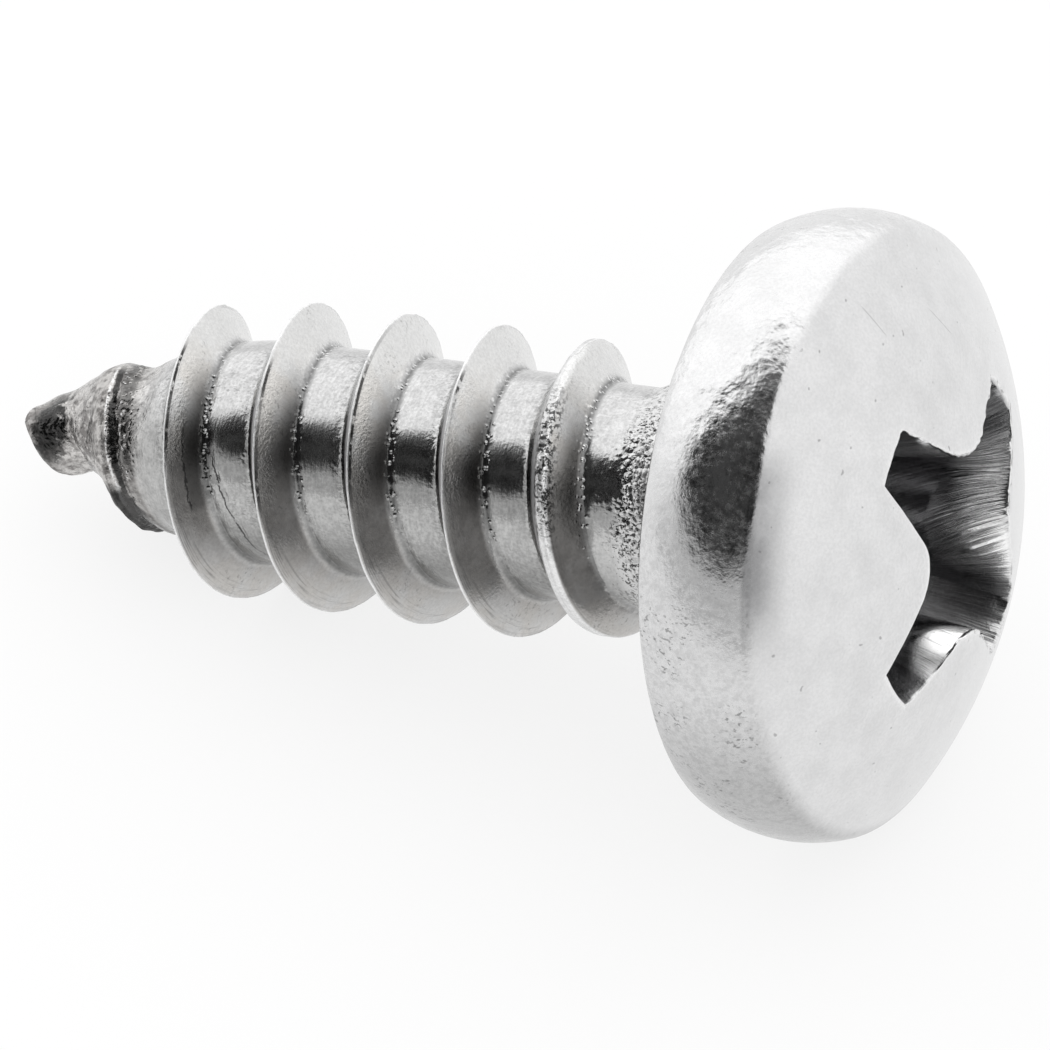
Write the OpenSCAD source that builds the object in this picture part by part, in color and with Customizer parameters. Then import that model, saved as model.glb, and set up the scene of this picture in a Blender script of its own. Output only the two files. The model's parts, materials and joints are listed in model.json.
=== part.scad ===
// Pan head tapping screw for sheet metal: a cross recess in the head, a coarse
// right-hand thread with sharp thin crests, and a cone point with a blunt cropped tip.
// Units are millimetres. The screw lies on its head's rim and one thread crest on z = 0,
// with the head towards +X and the tip towards -X.

/* [Head] */
// Largest diameter of the head
head_d = 9.5; // [9.1:0.05:10]
// Height of the head, from the bearing face to the top of the crown
head_h = 3.4; // [3.2:0.05:3.7]
// Height of the widest circle of the head above the bearing face
head_widest_h = 1.04; // [0.8:0.02:1.2]
// Radius of the arc that forms the head's bulged side
head_side_r = 2.07; // [1.8:0.01:2.4]
// Radius of the shallow dome on top
crown_r = 7.5; // [7:0.1:9]
// Radius of the soft ridge between the side and the dome
head_ridge_r = 0.35; // [0.2:0.05:0.6]
// Radius of the edge between the bearing face and the side
head_edge_r = 0.12; // [0.08:0.01:0.2]

/* [Cross recess] */
// Distance across opposite wing ends, where they meet the dome
recess_d = 5.2; // [4.7:0.05:5.4]
// Width of a wing at its end, where it meets the dome
wing_w = 0.93; // [0.8:0.01:1]
// Angle by which each side of a wing spreads towards the middle
wing_spread = 9.9; // [7:0.1:12]
// Distance from the axis to the rounded corner between two wings, at the dome
recess_core_r = 1.36; // [1.2:0.01:1.45]
// Depth of the wings below the top of the dome
recess_depth = 2.75; // [2.4:0.05:2.9]
// Depth of the pit's lowest point below the top of the dome
recess_pit_depth = 3.3; // [3.1:0.05:3.4]
// Slope of the wing ends, from the axis
wing_end_slope = 26.5; // [25:0.5:28]
// Slope of the wing sides, from the axis
wing_side_slope = 3; // [2:0.25:4]
// Slope of the corners between the wings, from the axis
corner_slope = 5.75; // [4:0.25:7]
// Turn of the wings about the screw's axis
recess_turn = 63.5; // [0:0.5:90]

/* [Shank] */
// Length from the bearing face to the tip
shank_l = 12.65; // [12.2:0.05:13]
// Diameter over the thread's crests
thread_d = 4.68; // [4.62:0.01:4.8]
// Diameter at the root between the crests
root_d = 3.4; // [3.3:0.01:3.55]
// Thread pitch
pitch = 1.6; // [1.5:0.05:1.65]
// Width of the flat along a sharp crest
crest_w = 0.06; // [0.04:0.01:0.1]
// Width of the flat where the crest is left blunt, close to the head
blunt_crest_w = 0.2; // [0.1:0.01:0.25]
// Width of each flank, measured along the axis
flank_w = 0.4; // [0.34:0.01:0.46]
// Diameter of the plain neck under the head
neck_d = 3.32; // [3.2:0.01:3.36]
// Length from the bearing face to the lower end of the neck
neck_l = 1.35; // [1.2:0.05:1.5]
// Radius of the fillet between the neck and the bearing face
neck_fillet_r = 0.72; // [0.68:0.01:0.8]

/* [Point] */
// Length of the cone point
point_l = 4.4; // [4.2:0.05:5]
// Radius of the blunt tip
tip_r = 0.34; // [0.2:0.01:0.4]
// How much the cone bellies out: 1 is a plain sine curve
point_belly = 1.35; // [1:0.05:1.5]
// Height of the half-formed thread on the cone's thin end
point_thread_h = 0.25; // [0.1:0.01:0.3]
// Width of the rounded crest of the half-formed thread
point_crest_w = 0.3; // [0.1:0.01:0.36]

/* [Hidden] */
$fn = 128;
steps_per_turn = 48;

head_r = head_d / 2;
root_r = root_d / 2;
neck_r = neck_d / 2;
thread_h = (thread_d - root_d) / 2;
// the shank ends inside the neck, a hair smaller than it
joint_gap = 0.015;
shank_top = -neck_l + 0.2;
// the thread starts to fade one pitch and a half above the neck's end
fade_start = -2.5 * pitch;
fade_end = -neck_l - 0.1;

// ---- head outline, as [radius, height] ----

// centres of the side's arc and of the dome's sphere
side_centre = [head_r - head_side_r, head_widest_h];
crown_centre = [0, head_h - crown_r];

// the ridge's arc touches both from inside, so its centre lies where two circles cross
ridge_a = head_side_r - head_ridge_r;
ridge_b = crown_r - head_ridge_r;
ridge_line = crown_centre - side_centre;
ridge_gap = norm(ridge_line);
ridge_along = (ridge_a * ridge_a - ridge_b * ridge_b + ridge_gap * ridge_gap) / (2 * ridge_gap);
ridge_off = sqrt(ridge_a * ridge_a - ridge_along * ridge_along);
ridge_dir = ridge_line / ridge_gap;
ridge_centre = side_centre + ridge_along * ridge_dir + ridge_off * [-ridge_dir[1], ridge_dir[0]];

// the edge's arc touches the bearing face and the side from inside
edge_rise = head_edge_r - head_widest_h;
edge_reach = sqrt(pow(head_side_r - head_edge_r, 2) - edge_rise * edge_rise);
edge_centre = side_centre + [edge_reach, edge_rise];

function turn_to(from, to) = atan2(to[1] - from[1], to[0] - from[0]);

function arc(centre, radius, start, end, steps) =
    [for (i = [0:steps]) let (a = start + (end - start) * i / steps)
        centre + radius * [cos(a), sin(a)]];

edge_turn = turn_to(side_centre, edge_centre);
ridge_turn = turn_to(side_centre, ridge_centre);
crown_turn = turn_to(crown_centre, ridge_centre);

head_outline = concat(
    arc([neck_r + neck_fillet_r, -neck_fillet_r], neck_fillet_r, 180, 90, 10),
    arc(edge_centre, head_edge_r, -90, edge_turn, 4),
    arc(side_centre, head_side_r, edge_turn + 4, ridge_turn - 4, 12),
    arc(ridge_centre, head_ridge_r, ridge_turn, crown_turn, 6),
    arc(crown_centre, crown_r, crown_turn + 2, 90, 14)
);

// ---- cross recess ----

wing_end_drop = crown_r - sqrt(crown_r * crown_r - recess_d * recess_d / 4);
core_drop = crown_r - sqrt(crown_r * crown_r - recess_core_r * recess_core_r);

// the cross at a depth below the top of the dome, as [x, y] points
function cross_outline(depth) =
    let (
        end_r = recess_d / 2 - (depth - wing_end_drop) * tan(wing_end_slope),
        half_w = wing_w / 2 - (depth - wing_end_drop) * tan(wing_side_slope),
        core_r = recess_core_r - (depth - core_drop) * tan(corner_slope),
        spread = tan(wing_spread),
        slant = sqrt(1 + spread * spread),
        side_offset = (half_w + spread * end_r) / slant,
        corner_c = (core_r - side_offset) / (1 - (1 + spread) / (sqrt(2) * slant)),
        corner_r = corner_c - core_r,
        end_turn = asin(half_w / end_r)
    )
    [for (q = [0:3]) each [for (p = concat(
            arc([0, 0], end_r, -end_turn, end_turn, 4),
            arc(corner_c * [cos(45), sin(45)], corner_r, 270 - wing_spread, 180 + wing_spread, 10)))
        [p[0] * cos(90 * q) - p[1] * sin(90 * q), p[0] * sin(90 * q) + p[1] * cos(90 * q)]]];

module cross_recess() {
    depths = [-0.4, recess_depth / 2, recess_depth];
    rings = [for (d = depths) [for (p = cross_outline(d)) [p[0], p[1], head_h - d]]];
    n = len(rings[0]);
    last = len(depths) - 1;
    pit = n * (last + 1);
    points = concat([for (ring = rings) each ring], [[0, 0, head_h - recess_pit_depth]]);
    walls = [for (k = [0:last - 1], i = [0:n - 1]) let (j = (i + 1) % n)
        each [[k * n + i, k * n + j, (k + 1) * n + j], [k * n + i, (k + 1) * n + j, (k + 1) * n + i]]];
    floor = [for (i = [0:n - 1]) [last * n + i, last * n + (i + 1) % n, pit]];
    lid = [[for (i = [n - 1:-1:0]) i]];
    polyhedron(points, concat(walls, floor, lid), convexity = 6);
}

// ---- threaded shank ----

function smooth(u) = let (v = min(max(u, 0), 1)) v * v * (3 - 2 * v);

// radius of the root at a height below the bearing face
function root_at(z) =
    let (
        u = min((z + shank_l) / point_l, 1),
        cone = tip_r + (root_r - tip_r) * pow(sin(90 * u), point_belly),
        top_trim = (root_r - neck_r + joint_gap) * smooth((z - fade_start) / (fade_end - fade_start))
    )
    cone - top_trim;

// how far the thread has come from half formed (0) to full (1)
function thread_full_at(z) = smooth(((z + shank_l) / point_l - 0.49) / 0.09);

// height of the crest above the root: half formed on the cone, full on the shank,
// and fading out towards the neck
function crest_at(z) =
    let (
        t = (z + shank_l) / point_l,
        start = point_thread_h * smooth((t + 0.02) / 0.14) + (thread_h - point_thread_h) * thread_full_at(z),
        fade = min(max((z - fade_start) / (fade_end - fade_start), 0), 1)
    )
    start * sqrt(cos(90 * fade));

function crest_flat_at(z) =
    crest_w + (blunt_crest_w - crest_w) * smooth((z - fade_start) / pitch)
    + (point_crest_w - crest_w) * (1 - thread_full_at(z));

// the thread's section in one pitch: [side of the crest, flank widths away, share of the height]
section = [[-1, 1, 0], [-1, 0.75, 0.16], [-1, 0, 1], [1, 0, 1], [1, 0.75, 0.16], [1, 1, 0]];
rows = len(section);
turns = ceil(shank_l / pitch) + 1;

// point on the thread at a step round the turn and a row up the shank
function crest_z(step, row) = pitch * (step / steps_per_turn + floor(row / rows) - turns);
function thread_z(step, row) =
    let (zc = crest_z(step, row), s = section[row % rows])
    zc + s[0] * (crest_flat_at(zc) / 2 + s[1] * flank_w);
function thread_r(step, row) =
    root_at(thread_z(step, row)) + crest_at(crest_z(step, row)) * section[row % rows][2];

module threaded_shank() {
    all_rows = rows * (turns + 1);
    // the rows that lie between the tip and the shank's top, at each step
    low = [for (s = [0:steps_per_turn - 1])
        max([for (r = [0:all_rows - 1]) if (thread_z(s, r) < -shank_l + 0.02) r])];
    high = [for (s = [0:steps_per_turn - 1])
        min([for (r = [0:all_rows - 1]) if (thread_z(s, r) > shank_top - 0.02) r])];
    points = [for (s = [0:steps_per_turn - 1], r = [0:all_rows - 1])
        let (
            a = 360 * s / steps_per_turn,
            z = r <= low[s] ? -shank_l : r >= high[s] ? shank_top : thread_z(s, r),
            radius = r <= low[s] || r >= high[s] ? root_at(z) : thread_r(s, r)
        )
        [radius * cos(a), radius * sin(a), z]];
    // one step past the last is the first step, a pitch higher
    function at(s, r) =
        let (step = s % steps_per_turn, row = s == step ? r : r + rows)
        step * all_rows + min(max(row, low[step]), high[step]);
    skin = [for (s = [0:steps_per_turn - 1], r = [0:all_rows - 2])
        let (a = at(s, r), b = at(s + 1, r), c = at(s + 1, r + 1), d = at(s, r + 1))
        each [if (a != b && b != c && a != c) [a, c, b], if (a != c && c != d && a != d) [a, d, c]]];
    tip = [[for (s = [0:steps_per_turn - 1]) at(s, 0)]];
    top = [[for (s = [steps_per_turn - 1:-1:0]) at(s, all_rows - 1)]];
    polyhedron(points, concat(skin, tip, top), convexity = 12);
}

// ---- the screw in its own frame: axis on z, bearing face at z = 0, tip downwards ----

module head() {
    rotate_extrude()
        polygon(concat([[0, -neck_l], [neck_r, -neck_l]], head_outline));
}

module upright_screw() {
    difference() {
        union() {
            head();
            threaded_shank();
        }
        rotate([0, 0, recess_turn])
            cross_recess();
    }
}

// ---- lying on the rim of the head and on one crest near the point ----

// side of the thread that faces down, as a turn about the axis
down_turn = 227.3;
rest_crest_z = pitch * (down_turn / 360 - 6);
rest_crest_r = root_at(rest_crest_z) + crest_at(rest_crest_z);
rest_span = head_widest_h - rest_crest_z;
rest_step = head_r - head_side_r - rest_crest_r;
lie_angle = asin(head_side_r / norm([rest_span, rest_step])) + atan2(rest_step, rest_span);
rest_height = side_centre[0] * cos(lie_angle) + head_side_r - head_widest_h * sin(lie_angle);
// the ends of the lying screw along X, from the middle of its bearing face
rest_front = crown_r + (head_h - crown_r) * cos(lie_angle);
rest_back = shank_l * cos(lie_angle) + tip_r * sin(lie_angle);
rest_middle = (rest_back - rest_front) / 2;

module screw() {
    color("lightgray")
        translate([rest_middle, 0, rest_height])
            rotate([0, 90 - lie_angle, 0])
                rotate([0, 0, -down_turn])
                    upright_screw();
}

screw();
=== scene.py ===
"""Looks of the sheet metal screw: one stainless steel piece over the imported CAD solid.

The piece is built in the screw's own frame, in millimetres: the axis is z with the tip
downwards, the bearing face of the head is z = 0, and turns are degrees about the axis.
"""
import json
import math

import bpy
import numpy as np
from mathutils import Matrix, Vector, noise


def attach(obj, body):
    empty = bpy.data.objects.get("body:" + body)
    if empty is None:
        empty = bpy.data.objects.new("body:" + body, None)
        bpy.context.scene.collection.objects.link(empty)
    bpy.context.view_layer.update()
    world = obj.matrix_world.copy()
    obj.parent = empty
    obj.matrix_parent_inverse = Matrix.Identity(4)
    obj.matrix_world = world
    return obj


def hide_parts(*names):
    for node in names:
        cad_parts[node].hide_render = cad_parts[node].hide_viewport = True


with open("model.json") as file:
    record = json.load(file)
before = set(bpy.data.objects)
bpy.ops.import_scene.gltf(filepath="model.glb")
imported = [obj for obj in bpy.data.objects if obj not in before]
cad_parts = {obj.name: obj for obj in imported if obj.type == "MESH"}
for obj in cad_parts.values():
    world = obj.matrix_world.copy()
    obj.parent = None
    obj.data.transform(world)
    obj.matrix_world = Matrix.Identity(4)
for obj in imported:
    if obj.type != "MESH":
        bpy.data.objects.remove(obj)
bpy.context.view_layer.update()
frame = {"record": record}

MM = 0.001

# ---- the screw's sizes, in mm and degrees, as in the part's source ----

HEAD_R, HEAD_H = 4.75, 3.4
WIDEST_H, SIDE_R = 1.04, 2.07
CROWN_R, RIDGE_R, EDGE_R = 7.5, 0.35, 0.12
RECESS_D, WING_W, WING_SPREAD = 5.2, 0.93, 9.9
CORE_R, RECESS_DEPTH, PIT_DEPTH = 1.36, 2.75, 3.3
END_SLOPE, SIDE_SLOPE, CORNER_SLOPE = 26.5, 3.0, 5.75
RECESS_TURN = 63.5
SHANK_L, ROOT_R, THREAD_H, PITCH = 12.65, 1.7, 0.64, 1.6
NECK_R, NECK_L, FILLET_R = 1.66, 1.35, 0.72
POINT_L, TIP_R, BELLY, POINT_THREAD_H = 4.4, 0.34, 1.35, 0.25
FLANK_W, CREST_W, BLUNT_CREST_W, POINT_CREST_W = 0.4, 0.024, 0.2, 0.3
FADE_START, FADE_END = -2.5 * PITCH, -NECK_L - 0.1
DOWN_TURN = 227.3
ARM_LEAN = 2.3    # only here: one arm of the recess was struck askew by this much

COLUMNS = 288
FAR, OFF_THREAD = 9.0, 0.8    # mm from the recess's rim, and from a crest, where neither is near
TURNS = np.radians(RECESS_TURN + 360.0 * np.arange(COLUMNS) / COLUMNS)


def smooth(u):
    """A soft step from 0 to 1."""
    u = np.clip(u, 0.0, 1.0)
    return u * u * (3.0 - 2.0 * u)


def tan(degrees):
    return math.tan(math.radians(degrees))


def arc(centre, radius, start, end, steps):
    """Points along an arc, as (radius, height), between two directions in degrees."""
    a = np.radians(np.linspace(start, end, steps + 1))
    return np.stack([centre[0] + radius * np.cos(a), centre[1] + radius * np.sin(a)], 1)


# ---- head outline ----

side_centre = np.array([HEAD_R - SIDE_R, WIDEST_H])
crown_centre = np.array([0.0, HEAD_H - CROWN_R])
reach_a, reach_b = SIDE_R - RIDGE_R, CROWN_R - RIDGE_R
line = crown_centre - side_centre
gap = np.linalg.norm(line)
along = (reach_a**2 - reach_b**2 + gap**2) / (2 * gap)
off = math.sqrt(reach_a**2 - along**2)
unit = line / gap
ridge_centre = side_centre + along * unit + off * np.array([-unit[1], unit[0]])
edge_rise = EDGE_R - WIDEST_H
edge_centre = side_centre + [math.sqrt((SIDE_R - EDGE_R) ** 2 - edge_rise**2), edge_rise]


def turn_to(a, b):
    """The direction from a to b, in degrees."""
    return math.degrees(math.atan2(b[1] - a[1], b[0] - a[0]))


crown_turn = turn_to(crown_centre, ridge_centre)
ridge_turn = turn_to(side_centre, ridge_centre)
edge_turn = turn_to(side_centre, edge_centre)
crown_edge_r = CROWN_R * math.cos(math.radians(crown_turn))


def crown_z(r):
    """The crown's height at a radius."""
    return crown_centre[1] + np.sqrt(CROWN_R**2 - r * r)


# ---- cross recess: one point of its outline for each column, at a depth ----

# columns in half a wing with its corner, on the wing's end and on its side; and how far the lean reaches
HALF, END_N, SIDE_N = COLUMNS // 8, 7, 12
LEAN_END, LEAN_FADE = 34, 16


def recess_point(depth):
    """x and y of every column's point on the recess wall at its depth below the crown's top."""
    wing_drop = HEAD_H - crown_z(RECESS_D / 2)
    core_drop = HEAD_H - crown_z(CORE_R)
    end_r = RECESS_D / 2 - (depth - wing_drop) * tan(END_SLOPE)
    half_w = WING_W / 2 - (depth - wing_drop) * tan(SIDE_SLOPE)
    core_r = CORE_R - (depth - core_drop) * tan(CORNER_SLOPE)
    spread = tan(WING_SPREAD)
    slant = math.sqrt(1 + spread * spread)
    offset = (half_w + spread * end_r) / slant
    corner_c = (core_r - offset) / (1 - (1 + spread) / (math.sqrt(2) * slant))
    corner_r = corner_c - core_r
    end_turn = np.arcsin(half_w / end_r)

    i = np.arange(COLUMNS)
    step = i % (2 * HALF)
    mirrored = step > HALF
    j = np.where(mirrored, 2 * HALF - step, step)
    a_end = end_turn * np.clip(j / END_N, 0, 1)
    end = np.stack([end_r * np.cos(a_end), end_r * np.sin(a_end)], 1)
    u = np.clip((j - END_N - SIDE_N) / (HALF - END_N - SIDE_N), 0, 1)
    a_corner = np.radians(270 - WING_SPREAD + u * (225 - 270 + WING_SPREAD))
    mid = corner_c * math.sqrt(0.5)
    corner = np.stack([mid + corner_r * np.cos(a_corner), mid + corner_r * np.sin(a_corner)], 1)
    w = np.clip((j - END_N) / SIDE_N, 0, 1)[:, None]
    xy = end * (1 - w) + corner * w
    xy = np.where(mirrored[:, None], xy[:, ::-1], xy)
    # the first arm was struck a little askew
    lean = ARM_LEAN * smooth((LEAN_END - np.minimum(i, COLUMNS - i)) / LEAN_FADE)
    q = np.radians(RECESS_TURN + 90.0 * (i // (2 * HALF)) + lean)
    return np.stack([xy[:, 0] * np.cos(q) - xy[:, 1] * np.sin(q),
                     xy[:, 0] * np.sin(q) + xy[:, 1] * np.cos(q)], 1)


def wall_point(depth):
    """Every column's point on the recess wall, with its height."""
    return np.concatenate([recess_point(depth), (HEAD_H - depth)[:, None]], 1)


# the head's rings, from the recess's pit to the neck: positions, distance from the rim, recess share
rings = []


def add_ring(points, rim=FAR, recess=0.0):
    """Keeps a ring of one point for each column, with its distance from the rim and its recess share."""
    rings.append((points, np.full(COLUMNS, rim) if np.isscalar(rim) else rim, recess))


# how far along the pit's cone, down the walls and out over the crown the rings lie
PIT_SHARES = (0.12, 0.3, 0.5, 0.7, 0.88, 0.96)
WALL_SHARES = (1.0, 0.97, 0.9, 0.8, 0.7, 0.6, 0.5, 0.4, 0.3, 0.21, 0.14, 0.08)
CROWN_SHARES = (0.018, 0.04, 0.065, 0.095, 0.13, 0.17, 0.21, 0.25, 0.3, 0.35, 0.4, 0.45, 0.5,
                0.55, 0.6, 0.65, 0.7, 0.75, 0.8, 0.85, 0.9, 0.94, 0.97, 0.99)
ROUNDING = 0.05    # of the recess's rim, in mm

rim_depth = np.full(COLUMNS, 0.3)
for _ in range(12):
    rim_depth = HEAD_H - crown_z(np.linalg.norm(recess_point(rim_depth), axis=1))
rim_points = wall_point(rim_depth)
floor_ring = wall_point(np.full(COLUMNS, RECESS_DEPTH))
pit = np.array([0.0, 0.0, HEAD_H - PIT_DEPTH])
for share in PIT_SHARES:
    add_ring(pit + (floor_ring - pit) * share, recess=1.0)
wall_down = wall_point(rim_depth + 0.1) - rim_points
wall_down /= np.linalg.norm(wall_down, axis=1)[:, None]
for share in WALL_SHARES:
    d = rim_depth + (RECESS_DEPTH - rim_depth) * share
    d = np.maximum(d, rim_depth + ROUNDING * (1 + share))
    add_ring(wall_point(d), rim=d - rim_depth, recess=1.0)


def crown_point(share):
    """On the crown, from the rim of the recess (0) to the crown's outer circle (1)."""
    circle = crown_edge_r * np.stack([np.cos(TURNS), np.sin(TURNS)], 1)
    xy = rim_points[:, :2] * (1 - share) + circle * share
    return np.concatenate([xy, crown_z(np.linalg.norm(xy, axis=1))[:, None]], 1)


crown_out = crown_point(0.03) - rim_points
crown_len = np.linalg.norm(crown_out, axis=1)[:, None] / 0.03
crown_out /= np.linalg.norm(crown_out, axis=1)[:, None]
for u in (0.0, 0.25, 0.5, 0.75, 1.0):
    lower = rim_points + wall_down * ROUNDING
    upper = rim_points + crown_out * ROUNDING
    p = (1 - u) ** 2 * lower + 2 * u * (1 - u) * rim_points + u * u * upper
    add_ring(p, rim=0.0, recess=1.0 - u)
first = ROUNDING / crown_len[:, 0]
for share in CROWN_SHARES:
    s = first + (1 - first) * share
    add_ring(crown_point(s[:, None]), rim=(s * crown_len[:, 0]))


def turned(outline):
    """Adds a ring for each (radius, height) of an outline."""
    for r, z in outline:
        add_ring(np.stack([r * np.cos(TURNS), r * np.sin(TURNS), np.full(COLUMNS, z)], 1))


turned(arc(ridge_centre, RIDGE_R, crown_turn, ridge_turn, 7))
turned(arc(side_centre, SIDE_R, ridge_turn, edge_turn, 20)[1:])
turned(arc(edge_centre, EDGE_R, edge_turn, -90, 5)[1:])
turned([(r, 0.0) for r in np.linspace(edge_centre[0], NECK_R + FILLET_R, 7)[1:-1]])
turned(arc([NECK_R + FILLET_R, -FILLET_R], FILLET_R, 90, 180, 10))
NECK_END = -1.16
turned([(NECK_R, z) for z in (-0.86, -1.0, NECK_END)])

# ---- threaded shank ----


def root_at(z):
    """Radius between the threads: the point's bellied cone, the root and the slimmer neck."""
    u = np.clip((z + SHANK_L) / POINT_L, 0, 1)
    cone = TIP_R + (ROOT_R - TIP_R) * np.sin(np.pi / 2 * u) ** BELLY
    return cone - (ROOT_R - NECK_R) * smooth((z - FADE_START) / (FADE_END - FADE_START))


def full_at(z):
    """0 low on the point, where the ridge is half formed, and 1 where the thread is full."""
    return smooth(((z + SHANK_L) / POINT_L - 0.49) / 0.09)


def crest_at(z):
    """The crest's height: low on the point, then full, and fading out under the head."""
    t = (z + SHANK_L) / POINT_L
    start = POINT_THREAD_H * smooth((t + 0.02) / 0.14) + (THREAD_H - POINT_THREAD_H) * full_at(z)
    fade = np.clip((z - FADE_START) / (FADE_END - FADE_START), 0, 1)
    return start * np.sqrt(np.cos(np.pi / 2 * fade))


# the point's outline at turn 0 and at turn 180, as (z, radius): it was cropped on a slant
POINT_TOP = np.array([
    (-12.84, 0.1), (-12.79, 0.12), (-12.6, 0.22), (-12.29, 0.42), (-11.97, 0.57), (-11.7, 0.745),
    (-11.53, 0.866), (-11.4, 0.95), (-11.25, 1.01), (-11.11, 1.06), (-10.86, 1.02),
    (-10.66, 1.015), (-10.47, 1.12), (-10.2, 1.27), (-9.9, 1.6), (-9.68, 1.9), (-9.5, 2.08)])
POINT_LOW = np.array([
    (-12.69, 0.05), (-12.6, 0.2), (-12.49, 0.29), (-12.32, 0.443), (-12.21, 0.72), (-12.1, 0.78),
    (-11.96, 0.75), (-11.85, 0.71), (-11.71, 0.645), (-11.58, 0.62), (-11.45, 0.555),
    (-11.36, 0.586), (-11.22, 0.78), (-11.0, 0.895), (-10.8, 1.02), (-10.6, 1.35),
    (-10.45, 1.466), (-10.32, 1.33), (-10.22, 1.4), (-10.1, 1.43), (-9.8, 1.45)])
TIP_Z = -12.59
CROP_START, CROP_BLEND = -9.95, 0.22


def point_radius(turn_deg, z):
    """Radius of the cropped point, following the thread round from one outline to the other."""
    climb = z - PITCH * turn_deg / 360
    top = np.interp(climb + PITCH * (turn_deg > 180), POINT_TOP[:, 0], POINT_TOP[:, 1])
    low = np.interp(climb + PITCH / 2, POINT_LOW[:, 0], POINT_LOW[:, 1])
    w = np.abs(turn_deg - 180) / 180
    return low * (1 - w) + top * w


# the section's rows, as distances from the crest in mm
SECTION = np.array([-0.8, -0.72, -0.64, -0.57, -0.5, -0.44, -0.39, -0.34, -0.28, -0.2, -0.12, -0.06, -0.013,
                    0.0, 0.013, 0.035, 0.075, 0.13, 0.2, 0.27, 0.33, 0.37, 0.41, 0.45, 0.5, 0.57, 0.64, 0.72])
ROWS = len(SECTION)
FIRST_PITCH, PITCHES = -9, 9
turn_rows = PITCHES * ROWS
unit_z = PITCH * np.degrees(TURNS) / 360.0
# the flank is hollow: its height share at shares of its width
FLANK_AT = [0, 0.02, 0.72, 0.88, 1.0]
FLANK_SHARE = [1, 0.975, 0.2, 0.065, 0]


def share_at(s, flat):
    """Height share of the section at a distance from the crest, for a crest flat of that width."""
    d = np.maximum(np.abs(s) - flat / 2, 0) / FLANK_W
    return np.interp(d, FLANK_AT, FLANK_SHARE)


# one row for each place of the section on each turn, one column for each turn about the axis
turn_number = FIRST_PITCH + np.arange(turn_rows) // ROWS
crest_z = unit_z[None, :] + PITCH * turn_number[:, None]
offset = SECTION[np.arange(turn_rows) % ROWS][:, None] * np.ones_like(crest_z)
flat = CREST_W + (BLUNT_CREST_W - CREST_W) * smooth((crest_z - FADE_START) / PITCH)
flat = flat + (POINT_CREST_W - CREST_W) * (1 - full_at(crest_z))
END_GAP = 0.015    # rows nearer than this to an end are left out
row_z = crest_z + offset
low = row_z < TIP_Z + END_GAP
high = row_z > NECK_END - END_GAP
row_z = np.clip(row_z, TIP_Z, NECK_END)
share = share_at(offset, flat)
height = crest_at(crest_z) * share
shown = share * np.clip(2 * crest_at(crest_z) / THREAD_H, 0, 1)
row_r = root_at(row_z) + np.where(low | high, 0, height)
turn_grid = np.broadcast_to((np.degrees(TURNS) % 360)[None, :], row_z.shape)
cropped = smooth((CROP_START - row_z) / CROP_BLEND)
row_r = row_r * (1 - cropped) + point_radius(turn_grid, row_z) * cropped
low_row = np.array([np.nonzero(low[:, c])[0].max() for c in range(COLUMNS)])
high_row = np.array([np.nonzero(high[:, c])[0].min() for c in range(COLUMNS)])

# ---- vertices and faces ----

positions, rim_distance, recess_share = [], [], []
crest_distance, crest_side, thread_share, crest_mid = [], [], [], []


def add_vertices(p, rim, recess, dist=OFF_THREAD, side=0, thread=0, mid=0):
    """Adds vertices with their distances, sides and shares, and gives back their numbers."""
    start = sum(len(x) for x in positions)
    count = len(p)
    positions.append(p)
    for kept, value in ((rim_distance, rim), (recess_share, recess), (crest_distance, dist),
                        (crest_side, side), (thread_share, thread), (crest_mid, mid)):
        kept.append(np.broadcast_to(np.asarray(value, float), (count,)).copy())
    return start + np.arange(count)


faces = []
pit_index = add_vertices(pit[None, :], FAR, 1)[0]
ring_index = []
for points, rim, recess in rings:
    ring_index.append(add_vertices(points, rim, recess))
following = np.roll(np.arange(COLUMNS), -1)
for c in range(COLUMNS):
    faces.append((pit_index, ring_index[0][c], ring_index[0][following[c]]))
for a, b in zip(ring_index[:-1], ring_index[1:]):
    for c in range(COLUMNS):
        faces.append((a[c], b[c], b[following[c]], a[following[c]]))

grid = np.full((turn_rows, COLUMNS), -1)
for c in range(COLUMNS):
    rows = np.arange(low_row[c], high_row[c])
    r = row_r[rows, c]
    p = np.stack([r * np.cos(TURNS[c]), r * np.sin(TURNS[c]), row_z[rows, c]], 1)
    from_crest = offset[rows, c]
    to_head = np.sin(2 * np.pi * from_crest / PITCH)
    grid[rows, c] = add_vertices(p, FAR, 0, np.abs(from_crest), to_head, shown[rows, c], crest_z[rows, c])
    grid[:low_row[c], c] = grid[low_row[c], c]
    grid[high_row[c]:, c] = ring_index[-1][c]


def at(row, column):
    """The grid's vertex; a step past the last column is the first column, one pitch of rows up."""
    if column == COLUMNS:
        row, column = min(row + ROWS, turn_rows - 1), 0
    return grid[row, column]


for c in range(COLUMNS):
    for row in range(turn_rows - 1):
        quad = [at(row, c), at(row, c + 1), at(row + 1, c + 1), at(row + 1, c)]
        corners = [q for n, q in enumerate(quad) if q != quad[n - 1]]
        if len(corners) > 2 and len(set(corners)) == len(corners):
            faces.append(tuple(corners))

end_ring = grid[low_row, np.arange(COLUMNS)]
end_points = np.concatenate(positions)[end_ring]
tip_middle = end_points.mean(0)
previous = end_ring
for share_in in (0.75, 0.5, 0.25):
    p = tip_middle + (end_points - tip_middle) * share_in
    ring = add_vertices(p, FAR, 0, mid=TIP_Z)
    for c in range(COLUMNS):
        faces.append((previous[c], ring[c], ring[following[c]], previous[following[c]]))
    previous = ring
tip_index = add_vertices(tip_middle[None, :], FAR, 0, mid=TIP_Z)[0]
for c in range(COLUMNS):
    faces.append((previous[c], tip_index, previous[following[c]]))

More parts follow.
